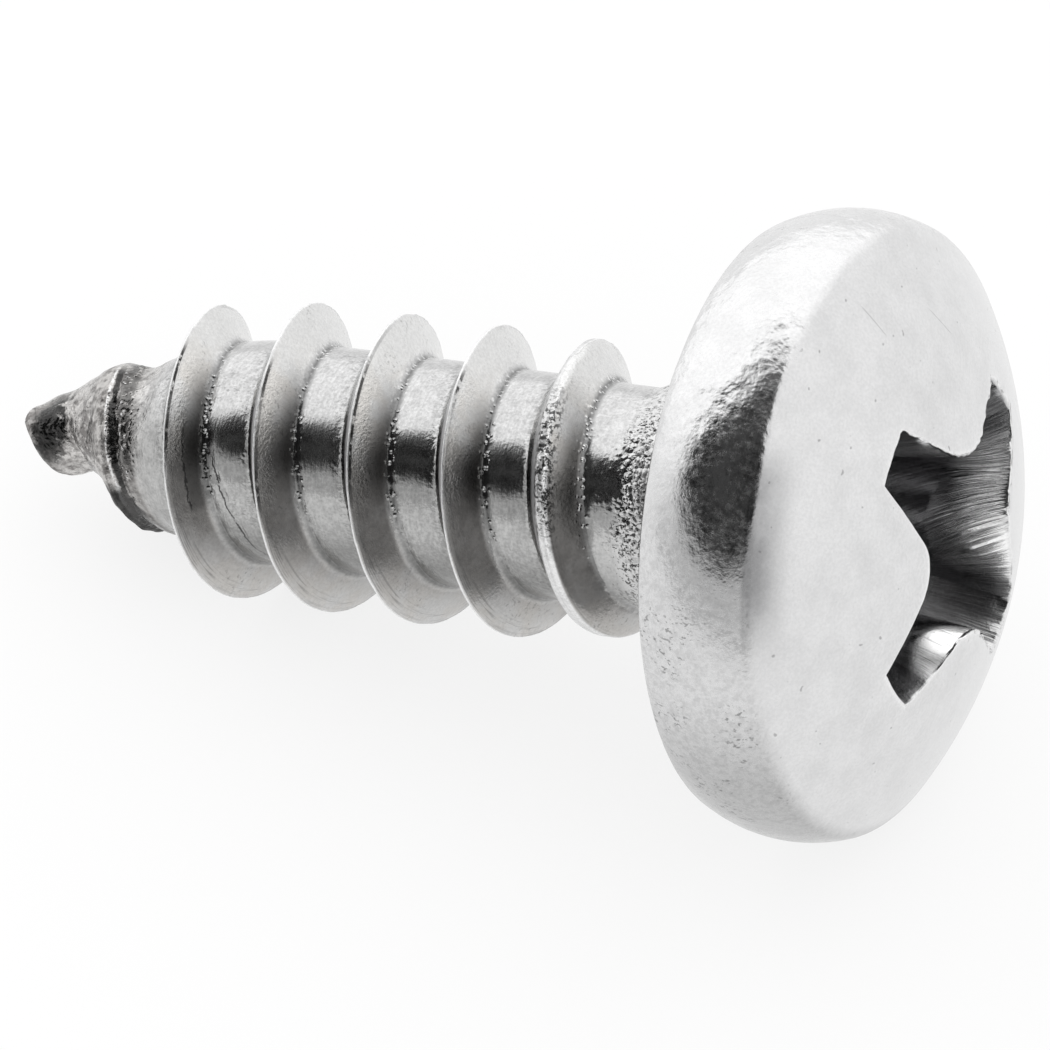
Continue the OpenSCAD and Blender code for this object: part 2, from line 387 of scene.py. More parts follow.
vertices = np.concatenate(positions)
rim_distance, recess_share = np.concatenate(rim_distance), np.concatenate(recess_share)
crest_distance, crest_side = np.concatenate(crest_distance), np.concatenate(crest_side)
thread_share, crest_mid = np.concatenate(thread_share), np.concatenate(crest_mid)

# ---- relief: what rolling, heading and handling left on the surface ----


def normals_of(points):
    """The vertices' normals, weighted by the faces' areas."""
    total = np.zeros_like(points)
    for size in (3, 4):
        f = np.array([x for x in faces if len(x) == size])
        a, b = (points[f[:, 1]] - points[f[:, 0]], points[f[:, 2]] - points[f[:, 0]])
        if size == 4:
            a, b = points[f[:, 2]] - points[f[:, 0]], points[f[:, 3]] - points[f[:, 1]]
        n = np.cross(a, b)
        for k in range(size):
            np.add.at(total, f[:, k], n)
    return total / np.maximum(np.linalg.norm(total, axis=1), 1e-12)[:, None]


def grain(points, scale, seed=0.0):
    """Smooth noise from -1 to 1 at each point; scale is in features per mm, one number or three."""
    q = points * np.broadcast_to(np.asarray(scale, float), 3) + seed
    return np.array([noise.noise(Vector(v)) for v in q])


def turn_of(points):
    """Degrees about the axis, from 0 to 360."""
    return np.degrees(np.arctan2(points[:, 1], points[:, 0])) % 360


def bell(distance, width):
    """1 at distance 0, falling off on both sides."""
    return np.exp(-((distance / width) ** 2))


def stretch(turns, start, rise, end, fall):
    """0 before the turn start, 1 after the rise, and 0 again past the turn end."""
    return smooth((turns - start) / rise) * smooth((end - turns) / fall)


radius = np.linalg.norm(vertices[:, :2], axis=1)
turn = turn_of(vertices)
outward = np.stack([vertices[:, 0], vertices[:, 1], 0 * radius], 1) / np.maximum(radius, 1e-6)[:, None]
normal = normals_of(vertices)
height_z = vertices[:, 2].copy()

# across the thread, the marks' distances from the crest's middle and half widths, in mm
CREST_HALF = 0.07
FOOT_AT, FOOT_HALF = 0.42, 0.045
FOLD_AT, FOLD_HALF = 0.035, 0.012
BACK_FOOT_AT, BACK_FOOT_HALF = 0.45, 0.13
# along the screw, the heights between which a zone begins
POINT_START, POINT_FULL = -9.8, -10.4
ROUGH_START, ROUGH_FULL = -2.3, -2.0
# the rim of the recess is worn clean about this turn, and chipped elsewhere
CLEAN_TURN, CLEAN_HALF, CHIP_FADE = 115, 60, 20
RIM_WEAR = 0.08

# where each mark lies, from 0 to 1
outside = recess_share == 0
on_shank = (height_z < NECK_END + 1e-6) & (rim_distance > 8) & outside
on_head = ~on_shank & outside & (height_z > -0.05)
under_head = (~on_head) * outside
neck_rise = 0.3 + 0.7 * smooth((height_z + 1.95) / 0.3)
near_head = smooth((height_z - ROUGH_START) / (ROUGH_FULL - ROUGH_START)) * neck_rise * under_head
below_head = np.where(on_shank, 1.0, under_head * smooth((-0.1 - height_z) / 0.25))
on_point = smooth((POINT_START - height_z) / (POINT_START - POINT_FULL)) * on_shank
full = on_shank * (1 - on_point)
blunt = smooth((crest_mid - FADE_START) / PITCH)
crest = bell(crest_distance, CREST_HALF) * full
foot = bell(crest_distance - FOOT_AT, FOOT_HALF) * (crest_side > 0) * full
fold = bell(crest_distance - FOLD_AT, FOLD_HALF) * (crest_side > 0) * full * (1 - blunt)
back_foot = bell(crest_distance - BACK_FOOT_AT, BACK_FOOT_HALF) * (crest_side < 0) * full
torn_flat = smooth((0.17 - crest_distance) / 0.05) * blunt * full * smooth((-1.9 - height_z) / 0.3)
torn_flat = np.clip(1.7 * torn_flat, 0, 1) * (0.1 + 0.9 * stretch(turn, 45, 20, 125, 30))
rim = np.exp(-rim_distance / RIM_WEAR) * (rim_distance < 1)
chipped = 1 - smooth((CLEAN_HALF - np.abs(turn - CLEAN_TURN)) / CHIP_FADE)
head_side = on_head * smooth((1.9 - height_z) / 0.2)

# a half-rolled fold runs behind the point's ridge, with torn beads beside it: heights above the ridge
LIP_AT, TEAR_AT, HAIRLINE_AT, TORN_AT = 0.06, 0.17, 0.15, 0.36
ridge_z = height_z - (PITCH * turn / 360 - 7 * PITCH)
ridge_z = np.where(ridge_z > PITCH / 2, ridge_z - PITCH, ridge_z)
waver = 0.03 * grain(vertices, (1.5, 1.5, 0.5), 45.0) + 0.02 * grain(vertices, 6.0, 46.0)
tear = bell(ridge_z - TEAR_AT - waver, 0.05) * stretch(turn, 35, 45, 185, 80) * on_point
lip = bell(ridge_z - LIP_AT - waver, 0.05) * stretch(turn, 10, 30, 200, 50) * on_point
torn = bell(ridge_z - TORN_AT, 0.12) * stretch(turn, -5, 20, 140, 50) * on_point
hairline = bell(ridge_z - HAIRLINE_AT - waver, 0.02) * stretch(turn, 3, 15, 80, 25) * on_point

# a lap runs along the last full land, a little steeper than the thread
LAP_RISE, LAP_START = 0.0088, -9.49
lap_z = height_z - (LAP_RISE * turn + LAP_START)
lap = bell(lap_z - 0.05 * grain(vertices, 1.5, 48.0), 0.025) * stretch(turn, 85, 20, 190, 25) * on_shank

# uneven surfaces: where, height in mm, features per mm and seed
uneven_rim = rim * (0.2 + 0.8 * chipped)
torn_ground = torn_flat + 0.25 * back_foot
LAYERS = (
    (on_head, 0.002, 0.9, 3.0),
    (head_side, 0.003, 3.5, 5.0),
    (uneven_rim, 0.018, (6, 6, 2.5), 11.0),
    (uneven_rim, 0.012, (15, 15, 5), 13.0),
    (full * (1 - crest), 0.005, (1.2, 1.2, 3.0), 21.0),
    (near_head, 0.008, (3.0, 3.0, 9.0), 31.0),
    (near_head, 0.004, 14.0, 33.0),
    (torn_ground, 0.014, (4.0, 4.0, 12.0), 36.0),
    (torn_ground, 0.012, 12.0, 38.0),
    (on_point, 0.02, 3.2, 41.0),
    (on_point, 0.014, 8.0, 43.0),
    (foot, 0.012, 9.0, 51.0),
    (torn, 0.03, (11, 11, 7), 47.0),
)
CHIP_DEPTH, TEAR_DEPTH, LIP_HEIGHT, LAP_DEPTH = 0.09, 0.1, 0.035, 0.03
push = sum(mask * height * grain(vertices, scale, seed) for mask, height, scale, seed in LAYERS)
push -= CHIP_DEPTH * rim * chipped * np.clip(grain(vertices, (6.5, 6.5, 4.0), 17.0) - 0.1, 0, 1)
push += LIP_HEIGHT * lip - TEAR_DEPTH * tear - LAP_DEPTH * lap
vertices = vertices + normal * push[:, None]

# crests are nicked and not quite even, less so low down
NICK_DEPTH, WEAR_DEPTH, FOLD_DEPTH = 0.04, 0.02, 0.016
calm = 0.45 + 0.55 * smooth((vertices[:, 0] + 1.6) / 1.6)
nicks = NICK_DEPTH * np.clip(grain(vertices, (2.6, 2.6, 1.0), 71.0), 0, 1) ** 1.5
vertices = vertices - outward * (calm * crest * nicks)[:, None]
wear = WEAR_DEPTH * (1 + grain(vertices, (9, 9, 3), 81.0)) / 2
vertices = vertices - outward * (calm * crest * wear)[:, None]
# a fold lies beside the crest, mostly on the side that faces the camera
facing = stretch(turn, 42, 18, 118, 25)
gate = smooth(-0.05 + 0.85 * facing + 0.8 * grain(vertices, (1.3, 1.3, 0.6), 91.0))
vertices = vertices - normal * (fold * FOLD_DEPTH * gate)[:, None]
# the shank is a hair off the head's middle
SHIFT_AT = [-9.4, -8, -6, -4, -1.3, -0.3, 0]
SHIFT = [0, 0.012, 0.03, 0.035, 0.048, 0.04, 0]
vertices[:, 0] += np.interp(vertices[:, 2], SHIFT_AT, SHIFT)

# soot and dirt by the point's ridge
lobe_top = 0.2 + 0.2 * smooth((turn - 136) / 18)
lobe = smooth((ridge_z + 0.55) / 0.2) * smooth((lobe_top - ridge_z) / 0.08) * smooth((turn - 126) / 16)
lobe = np.clip(on_point * lobe * (1.15 + 0.5 * grain(vertices, (4, 4, 2), 49.0)), 0, 1)

# on the recess's walls, the way round the rim above each point, for streaks running down with a slant
SLANT_AT = [0, 120, 180, 230, 270, 330, 360]
SLANT = [0.05, 0, -0.12, -0.05, 0.12, 0.12, 0.05]
steps = np.linalg.norm(np.roll(rim_points, -1, 0) - rim_points, axis=1)
way_round = np.concatenate([[0.0], np.cumsum(steps)[:-1]])
rim_r = steps.sum() / (2 * np.pi)
slant = np.interp(turn_of(rim_points), SLANT_AT, SLANT)
wall = vertices.copy()
for ring, (_, _, recess) in zip(ring_index, rings):
    if recess > 0:
        a = way_round / rim_r - slant * (vertices[ring, 2] - 3.0)
        wall[ring, 0], wall[ring, 1] = rim_r * np.cos(a), rim_r * np.sin(a)

# ---- the piece ----

mount = next(m for m in frame["record"]["mounts"] if m["name"] == "bearing_face")
bearing = Vector(mount["pos_m"])
axis = -Vector(mount["axis"]).normalized()
down = (Vector((0, 0, -1)) + axis * axis.z).normalized()
across = axis.cross(down)


def side_of_screw(degrees):
    """The world direction of a turn about the screw's axis."""
    a = math.radians(degrees - DOWN_TURN)
    return math.cos(a) * down + math.sin(a) * across


x_side, y_side = side_of_screw(0), side_of_screw(90)
basis = np.array([x_side, y_side, axis])
world = np.array(bearing) + (vertices * MM) @ basis

mesh = bpy.data.meshes.new("screw_body")
mesh.from_pydata(world.tolist(), [], [tuple(int(v) for v in f) for f in faces])
mesh.validate()
for polygon in mesh.polygons:
    polygon.use_smooth = True
SHARP_ANGLE = 62
mesh.set_sharp_from_angle(angle=math.radians(SHARP_ANGLE))


def store(name, x, y, z):
    """Keeps three values for each vertex, for the material."""
    attribute = mesh.attributes.new(name, "FLOAT_VECTOR", "POINT")
    attribute.data.foreach_set("vector", np.stack([x, y, z], 1).astype(np.float32).ravel())


store("turned", *vertices.T)
store("wall", *wall.T)
store("zone", recess_share, below_head, on_point)
store("thread", crest_distance, crest_side, thread_share)
store("marks", rim, np.maximum(foot, np.clip(1.6 * torn, 0, 1)), 0.9 * hairline)
store("soil", gate * full * (1 - blunt), lobe, lip)
store("grime", tear, near_head, np.maximum(torn_flat, 0.35 * back_foot))
mesh.update()
body = bpy.data.objects.new("screw_body", mesh)
bpy.context.scene.collection.objects.link(body)
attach(body, "root")
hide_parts("screw")

# ---- material ----


def grey(level):
    return (level, level, level, 1)


class Nodes:
    """Short calls for a node tree."""

    def __init__(self, tree):
        self.tree = tree

    def add(self, kind, inputs=(), **settings):
        node = self.tree.nodes.new(kind)
        for key, value in settings.items():
            setattr(node, key, value)
        for key, value in dict(inputs).items():
            self.put(node.inputs[key], value)
        return node

    def put(self, socket, value):
        if isinstance(value, bpy.types.NodeSocket):
            self.tree.links.new(value, socket)
        elif isinstance(value, bpy.types.Node):
            self.tree.links.new(value.outputs[0], socket)
        else:
            socket.default_value = value

    def math(self, operation, a, b=0.0, c=0.0, clamp=False):
        node = self.add("ShaderNodeMath", {0: a, 1: b, 2: c}, operation=operation, use_clamp=clamp)
        return node.outputs[0]

    def plus(self, a, b):
        return self.math("ADD", a, b)

    def minus(self, a, b):
        return self.math("SUBTRACT", a, b)

    def times_plus(self, a, b, c):
        return self.math("MULTIPLY_ADD", a, b, c)

    def product(self, *values):
        out = values[0]
        for value in values[1:]:
            out = self.math("MULTIPLY", out, value)
        return out

    def most(self, *values):
        out = values[0]
        for value in values[1:]:
            out = self.math("MAXIMUM", out, value)
        return out

    def without(self, mask):
        """1 where a mask is 0."""
        return self.minus(1.0, mask)

    def middled(self, noise_value):
        """A noise moved to swing about 0."""
        return self.minus(noise_value, 0.5)

    def span(self, value, low, high, to_low=0.0, to_high=1.0):
        """A soft step from to_low to to_high; low may be the larger one."""
        places = {"Value": value, "From Min": low, "From Max": high, "To Min": to_low, "To Max": to_high}
        return self.add("ShaderNodeMapRange", places, interpolation_type="SMOOTHSTEP").outputs[0]

    def window(self, value, start, full, late, end):
        """0 before start, 1 from full to late and 0 after end."""
        return self.product(self.span(value, start, full), self.span(value, end, late))

    def line(self, value, middle, full, end):
        """1 within full of the middle and 0 past end."""
        return self.span(self.math("ABSOLUTE", self.minus(value, middle)), end, full)

    def dot(self, a, b):
        return self.add("ShaderNodeVectorMath", {0: a, 1: b}, operation="DOT_PRODUCT").outputs["Value"]

    def scaled(self, a, by):
        return self.add("ShaderNodeVectorMath", {0: a, 1: by}, operation="MULTIPLY").outputs[0]

    def vector(self, x, y, z):
        return self.add("ShaderNodeCombineXYZ", {0: x, 1: y, 2: z}).outputs[0]

    def noise(self, vector, scale, detail=2.0, roughness=0.5):
        values = {"Vector": vector, "Scale": scale, "Detail": detail, "Roughness": roughness}
        return self.add("ShaderNodeTexNoise", values).outputs["Fac"]

    def attribute(self, name):
        vector = self.add("ShaderNodeAttribute", attribute_name=name).outputs["Vector"]
        parts = self.add("ShaderNodeSeparateXYZ", {0: vector})
        return vector, parts.outputs[0], parts.outputs[1], parts.outputs[2]

    def near(self, vector, point, radius):
        """1 at a point, falling to 0 at a distance."""
        gap = self.add("ShaderNodeVectorMath", {0: vector, 1: point}, operation="DISTANCE").outputs["Value"]
        return self.span(gap, 0.35 * radius, radius, 1.0, 0.0)

    def scratch(self, vector, a, b, width):
        """1 along the line between two points in x and y, for lines on the crown."""
        ax, ay, bx, by = *a, *b
        length = math.hypot(bx - ax, by - ay)
        ux, uy = (bx - ax) / length, (by - ay) / length
        middle = ux * (ax + bx) / 2 + uy * (ay + by) / 2
        along = self.minus(self.dot(vector, (ux, uy, 0)), middle)
        off = self.minus(self.dot(vector, (-uy, ux, 0)), -uy * ax + ux * ay)
        return self.product(self.span(self.math("ABSOLUTE", along), 0.3 * length, 0.5 * length, 1.0, 0.0),
                            self.span(self.math("ABSOLUTE", off), 0.4 * width, width, 1.0, 0.0))

    def blend(self, factor, a, b):
        node = self.add("ShaderNodeMix", data_type="RGBA")
        self.put(node.inputs["Factor"], factor)
        self.put(node.inputs["A"], a)
        self.put(node.inputs["B"], b)
        return node.outputs["Result"]


steel = bpy.data.materials.new("stainless_steel_blank")
steel.use_nodes = True
n = Nodes(steel.node_tree)
shader = steel.node_tree.nodes["Principled BSDF"]


def paint(base, *coats):
    """Lays colours over the base in order, each by its mask."""
    for mask, colour in coats:
        base = n.blend(mask, base, colour)
    return base


# what the vertices hold: the place in the screw's frame, zones, distances and marks
place, px, py, pz = n.attribute("turned")
_, in_recess, in_thread, in_point = n.attribute("zone")
_, from_crest, side, share = n.attribute("thread")
_, at_rim, at_foot, at_hairline = n.attribute("marks")
_, at_gate, at_lobe, at_lip = n.attribute("soil")
_, at_tear, at_neck, at_torn = n.attribute("grime")
wall_place = n.attribute("wall")[0]
r_here = n.math("SQRT", n.plus(n.product(px, px), n.product(py, py)))
turn_here = n.math("ARCTAN2", py, px)
on_crown = n.product(n.span(pz, 1.75, 2.0), n.without(in_recess))
head_side = n.product(n.without(in_thread), n.span(pz, 2.0, 1.75), n.span(r_here, 2.6, 3.0))
land = n.product(in_thread, n.span(share, 0.25, 0.02))
flank = n.product(in_thread, n.span(share, 0.03, 0.2), n.span(side, -0.2, 0.3))
faces_head = n.span(side, 0.0, 0.1)

# noises in the screw's frame; round_lines runs round the axis and down_lines down the recess's walls
rise = n.times_plus(r_here, 1.3, pz)
round_lines = n.vector(n.product(px, 3.6), n.product(py, 3.6), n.product(rise, 26.0))
turning = n.noise(round_lines, 1.0, 2.0, 0.65)
fine = n.noise(place, 20.0, 2.0, 0.6)
coarse = n.noise(place, 6.5, 3.0, 0.6)
cloud = n.noise(place, 1.7, 3.0, 0.6)
speckle = n.noise(place, 9.0, 3.0, 0.72)
group = n.noise(place, 0.9, 2.0, 0.5)
scribble = n.noise(n.scaled(place, (15.0, 15.0, 9.0)), 1.0, 2.0, 0.7)
mottle = n.noise(n.scaled(place, (6.5, 6.5, 5.5)), 1.0, 3.0, 0.7)
down_lines = n.noise(n.scaled(wall_place, (22.0, 22.0, 0.3)), 1.0, 3.0, 0.7)
bead_gap = n.add("ShaderNodeTexVoronoi", {"Vector": place, "Scale": 11.0}, feature="F1").outputs["Distance"]

# small dark pits and scribbles in loose groups, mostly low on the head's side
spots = n.most(n.product(head_side, n.span(px, -0.3, -2.2)),
               n.product(in_thread, n.span(group, 0.52, 0.62), 0.6))
pits = n.product(n.span(scribble, 0.57, 0.66), n.span(group, 0.46, 0.55), spots)
crown_pits = n.product(n.span(n.noise(place, 8.0, 1.0), 0.765, 0.785), on_crown, 0.7)
pits = n.most(pits, crown_pits)
SCRATCHES = (((3.23, 2.6), (2.8, 2.2), 0.012),     # both ends and the width, in mm
             ((3.36, 1.03), (3.0, 0.48), 0.01),
             ((2.2, -1.9), (1.5, -2.6), 0.01))
scratches = n.most(*(n.scratch(place, start, end, width) for start, end, width in SCRATCHES))

# the head: painted shade low on its side, and painted shade along the crown's ridge
base = n.blend(n.span(cloud, 0.3, 0.7), (0.69, 0.69, 0.693, 1), (0.75, 0.75, 0.753, 1))
# painted shade on the crown's edge beside the ridge, on one side
ridge_shade = n.product(n.span(pz, 1.72, 1.8), n.span(r_here, 3.95, 4.5), n.window(px, -2.4, -1.0, 0.2, 1.2),
                   n.span(py, 2.0, 3.5), n.span(cloud, 0.3, 0.65, 0.5, 0.8))
# painted shade: the head's side is painted greyer towards its low side, darkest at the bottom
base = paint(base,
             (n.product(head_side, n.span(px, 0.5, -2.0), 0.6), (0.63, 0.63, 0.632, 1)),
             (n.product(head_side, n.span(px, -2.6, -4.2)), grey(0.47)),
             (ridge_shade, (0.26, 0.26, 0.265, 1)))

# the thread: painted shade on its low side, easing off again in the last quarter turn
lower = n.product(n.span(px, 0.9, -0.3), n.span(px, -2.3, -1.2, 0.25, 1.0))
warm = n.product(flank, n.span(px, 1.9, 0.9), n.span(cloud, 0.35, 0.6))
mid_height = n.span(n.math("ABSOLUTE", n.minus(px, 0.3)), 0.2, 1.2, 0.85, 0.0)
# painted shade: the flank facing the head is painted nearly black from near the crest to the foot, at mid
# height
flank_shade = n.product(in_thread, n.span(side, 0.1, 0.5), n.window(from_crest, 0.1, 0.34, 0.37, 0.41), mid_height)
edge_place = n.vector(n.product(from_crest, 55.0), px, py)
edge_lines = n.product(in_thread, n.span(n.noise(edge_place, 1.0, 2.0, 0.6), 0.5, 0.62),
                       n.span(from_crest, 0.19, 0.08), n.window(px, -2.4, -1.9, -0.9, 0.1))
# the crest's thin bright line: partly burnished metal, partly a painted highlight along its rounded edge
burnished_highlight = n.product(in_thread, n.span(from_crest, 0.02, 0.013))
blunt_crest = n.product(in_thread, n.span(from_crest, 0.11, 0.08), n.span(pz, -3.3, -2.7))
beaded = n.product(at_foot, n.most(n.span(px, -1.3, -0.5), in_point))
# painted shade: lands are painted darker than flanks, partly a duller scratched surface and partly shade
# between the crests; low lands and low flanks are darker still
base = paint(base,
             (land, grey(0.57)),
             (n.product(land, lower), (0.46, 0.46, 0.455, 1)),
             (n.product(land, n.span(px, -0.9, -1.6)), (0.24, 0.24, 0.235, 1)),
             (flank, (0.72, 0.72, 0.715, 1)),
             (n.product(warm, 0.6), (0.68, 0.65, 0.61, 1)),
             (n.product(flank, lower, n.span(coarse, 0.2, 0.8, 0.85, 1.0)), (0.16, 0.155, 0.15, 1)),
             (flank_shade, (0.05, 0.048, 0.046, 1)),
             (n.product(edge_lines, 0.55), grey(0.12)),
             (burnished_highlight, grey(0.9)),
             (blunt_crest, grey(0.8)),
             (n.product(beaded, n.span(bead_gap, 0.3, 0.12)), grey(0.92)))

# the point is mottled with rolling lubricant
uneven = n.times_plus(n.middled(cloud), 0.7, mottle)
point = n.blend(n.span(uneven, 0.34, 0.64), (0.2, 0.19, 0.185, 1), (0.62, 0.605, 0.59, 1))
base = n.blend(n.product(in_point, n.span(pz, -9.9, -10.7, 0.45, 1.0)), base, point)

# the recess: streaked by the punch, with painted highlights on some walls and painted shade in dark patches
# and deeper down
# painted shade: the streaks are painted darker deeper in the recess
streaked = n.span(n.plus(down_lines, n.span(pz, 2.1, 3.15, -0.08, 0.07)), 0.43, 0.58)
# shine, sheen and lit_wall are painted highlights on walls of the recess; the colour laid by shine is
# brightest at its middle
shine = n.near(place, (-1.5, -0.05, 3.05), 0.9)
sheen = n.most(n.near(place, (0.2, -1.5, 3.0), 1.15), n.product(n.near(place, (0.8, -1.5, 3.2), 1.2), 0.45))
sheen = n.product(sheen, n.span(down_lines, 0.34, 0.6, 0.66, 1.0))
lit_wall = n.product(n.near(place, (1.25, 0.95, 2.85), 1.1), 0.7)
# painted shade: dark patches on the recess's walls, in the two masks below
deep_shade = n.most(n.near(place, (-0.7, -2.1, 2.5), 0.75), n.near(place, (-1.0, -1.9, 2.0), 0.8))
wall_shade = n.most(n.product(n.near(place, (1.0, -1.1, 1.6), 1.1), 0.9), n.near(place, (-2.15, 0.5, 2.7), 0.5),
                n.product(n.near(place, (2.15, -1.2, 2.75), 0.85), 0.75))
shine_colour = n.blend(n.near(place, (-1.42, -0.12, 3.1), 0.5), grey(0.3), grey(0.95))
recess_floor = n.blend(n.span(mottle, 0.36, 0.64), grey(0.28), grey(0.62))
below_walls = n.span(n.times_plus(n.middled(coarse), 0.3, pz), 1.05, 0.8)
inner = n.blend(streaked, (0.33, 0.33, 0.335, 1), grey(0.72))
inner = paint(inner,
              (n.product(sheen, 0.9), grey(0.95)),
              (n.product(wall_shade, 0.9), (0.23, 0.23, 0.235, 1)),
              (n.product(deep_shade, 0.9), (0.17, 0.17, 0.172, 1)),
              (n.product(lit_wall, n.span(down_lines, 0.34, 0.5, 0.25, 1.0)), grey(0.97)),
              (n.product(shine, n.span(down_lines, 0.36, 0.48, 0.35, 1.0)), shine_colour),
              (below_walls, recess_floor))
base = paint(base,
             (in_recess, inner),
             (n.product(at_rim, 0.8, n.without(in_recess)), grey(0.86)))

# dust, and streaks round the axis, as a factor on all of it
dust = n.plus(n.span(fine, 0.34, 0.66, -0.08, 0.06), n.span(coarse, 0.3, 0.7, -0.1, 0.07))
dusty = n.times_plus(land, 0.7, n.product(in_thread, 0.3))
grains = n.times_plus(dust, dusty, n.span(fine, 0.3, 0.7, 0.96, 1.03))
misted = n.product(head_side, n.span(px, 0.6, -0.8))
grains = n.times_plus(n.span(speckle, 0.34, 0.62, -0.13, 0.05), misted, grains)
streaks = n.product(n.span(turning, 0.3, 0.7, -0.08, 0.05), n.times_plus(land, 0.75, 0.25), in_thread)
base = n.scaled(base, n.plus(grains, streaks))

# the neck is crazed under the head, in patches further down
cracks = n.line(coarse, 0.5, 0.015, 0.035)
patchy = n.span(n.times_plus(at_neck, 0.22, cloud), 0.56, 0.66)
creases = n.most(n.product(cracks, n.span(speckle, 0.47, 0.54)), n.span(scribble, 0.6, 0.64))
creases = n.product(n.span(at_neck, 0.1, 0.6), creases, patchy)
base = n.blend(n.product(at_neck, n.without(creases), 0.7), base, grey(0.74))

# the point's ridge has a thin bright lip, a black gap and a row of torn beads beside it
waver_here = n.product(n.middled(coarse), 0.12)
ridge_here = n.plus(n.times_plus(turn_here, -PITCH / (2 * math.pi), pz), n.plus(waver_here, 7 * PITCH))
on_ridge = n.product(in_point, n.window(turn_here, 0.3, 0.7, 2.3, 3.0))
lip_line = n.product(on_ridge, n.line(ridge_here, 0.05, 0.012, 0.03))
gap_line = n.product(on_ridge, n.line(ridge_here, 0.14, 0.035, 0.06))
ridge_beads = n.product(on_ridge, n.line(ridge_here, 0.28, 0.07, 0.1), n.span(turn_here, 2.3, 1.9))
base = paint(base,
             (n.product(lip_line, n.span(speckle, 0.4, 0.5), 0.8), grey(0.85)),
             (n.product(ridge_beads, n.span(bead_gap, 0.34, 0.16)), grey(0.95)))
gap_line = n.most(n.product(gap_line, n.span(coarse, 0.3, 0.4)),
                  n.product(ridge_beads, n.span(bead_gap, 0.3, 0.5), 0.7))

# a lap on the last full land and a crevice in the flank beside it, as lines round the axis, with the flank
# inside the crevice darkened as painted shade
lap_off = n.minus(n.minus(pz, waver_here), n.times_plus(turn_here, math.degrees(LAP_RISE), LAP_START))
lap_line = n.product(n.line(lap_off, 0.0, 0.01, 0.022), n.window(turn_here, 1.6, 1.75, 2.75, 2.95),
                     n.span(fine, 0.32, 0.42))
CREVICE_R = 1.96
crevice_off = n.minus(n.times_plus(n.middled(speckle), 0.1, n.plus(r_here, waver_here)), CREVICE_R)
crevice_at = n.product(n.window(turn_here, 1.3, 1.6, 2.1, 2.2), n.window(pz, -9.15, -9.08, -8.7, -8.6),
                       faces_head)
crevice_width = n.span(coarse, 0.35, 0.6, 0.014, 0.034)
crevice_and_shade = n.product(n.line(crevice_off, 0.0, 0.006, crevice_width), crevice_at)
# painted shade: the flank inside the crevice is painted darker
crevice_and_shade = n.most(crevice_and_shade, n.product(n.span(crevice_off, -0.004, -0.03), crevice_at, 0.55))

# what is black or nearly so: gaps, soot at the tip, and painted shade between the beads and along the flank's
# foot low down
ragged = n.product(n.middled(mottle), 0.8)
soot = n.product(n.window(n.plus(pz, ragged), -12.5, -12.3, -12.0, -11.82),
                 n.span(n.plus(py, ragged), 0.1, 0.4))
# painted shade: dark between the beads, and along the flank's foot on the low side
between = n.product(beaded, n.span(bead_gap, 0.28, 0.5), 0.75)
between = n.most(between, n.product(at_foot, n.span(px, -0.3, -1.1), n.span(coarse, 0.3, 0.6, 0.1, 0.5)))
torn_pits = n.product(at_torn, n.span(scribble, 0.49, 0.43))
fold_line = n.product(at_gate, n.line(from_crest, 0.033, 0.01, 0.018), n.span(side, 0.0, 0.05),
                      n.span(coarse, 0.36, 0.46))
SHADES = ((n.most(at_hairline, lap_line, crevice_and_shade, gap_line), 0.9), (fold_line, 0.97), (at_tear, 0.6),
          (soot, 0.93), (at_lobe, 0.9), (between, 1.0), (torn_pits, 0.9), (creases, 0.93), (pits, 0.55),
          (scratches, 0.3))
dark = n.most(*(n.product(mask, strength) for mask, strength in SHADES))
base = n.blend(dark, base, grey(0.03))
n.put(shader.inputs["Base Color"], base)
shader.inputs["Metallic"].default_value = 1.0

# roughness: a cloudy ground, and what each zone adds to it
grazing = n.product(in_thread, n.span(from_crest, 0.4, 0.25), n.span(side, 0.0, -0.1))
rough = n.span(cloud, 0.3, 0.75, 0.19, 0.26)
for mask, change in ((burnished_highlight, 0.3), (grazing, 0.2), (in_recess, -0.08), (land, -0.05),
                     (head_side, n.span(speckle, 0.3, 0.75, -0.1, 0.1))):
    rough = n.times_plus(mask, change, rough)
n.put(shader.inputs["Roughness"], rough)

# relief: the height in mm is a sum of products
hammered = n.plus(n.product(n.middled(n.noise(place, 1.6, 1.0, 0.5)), 0.025),
                  n.product(n.middled(n.noise(place, 4.6, 2.0, 0.5)), 0.024))
smoother = n.most(on_crown, n.product(land, 0.5))
rugged = n.most(at_neck, in_point, at_torn)
beads = n.span(bead_gap, 0.0, 0.5, 1.0, 0.0)
bead_rows = n.most(beaded, n.product(ridge_beads, 1.5), n.product(rugged, 0.25))
pebbled = n.product(at_gate, faces_head, n.span(from_crest, 0.26, 0.12))
HEIGHTS = (
    (n.middled(turning), in_thread, n.times_plus(land, 0.0009, 0.0008)),
    (n.middled(down_lines), in_recess, n.without(below_walls), n.times_plus(sheen, -0.004, 0.006)),
    (n.middled(coarse), in_recess, below_walls, 0.03),
    (n.middled(fine), n.times_plus(smoother, -0.0024, 0.0032)),
    (hammered, head_side, n.span(px, 0.0, 2.0, 0.3, 1.0)),
    (bead_gap, at_neck, at_neck, -0.028),
    (n.middled(coarse), n.most(n.product(at_neck, 0.25), in_point, at_torn), 0.035),
    (beads, bead_rows, 0.034),
    (n.middled(fine), pebbled, 0.014),
    (at_lip, 0.01),
    # the three walls with painted highlights also lean outwards a little
    (in_recess, shine, n.minus(pz, 3.05), -0.32),
    (in_recess, sheen, n.minus(pz, 3.2), -0.27),
    (in_recess, lit_wall, n.minus(pz, 2.95), -0.3),
)
relief = n.product(*HEIGHTS[0])
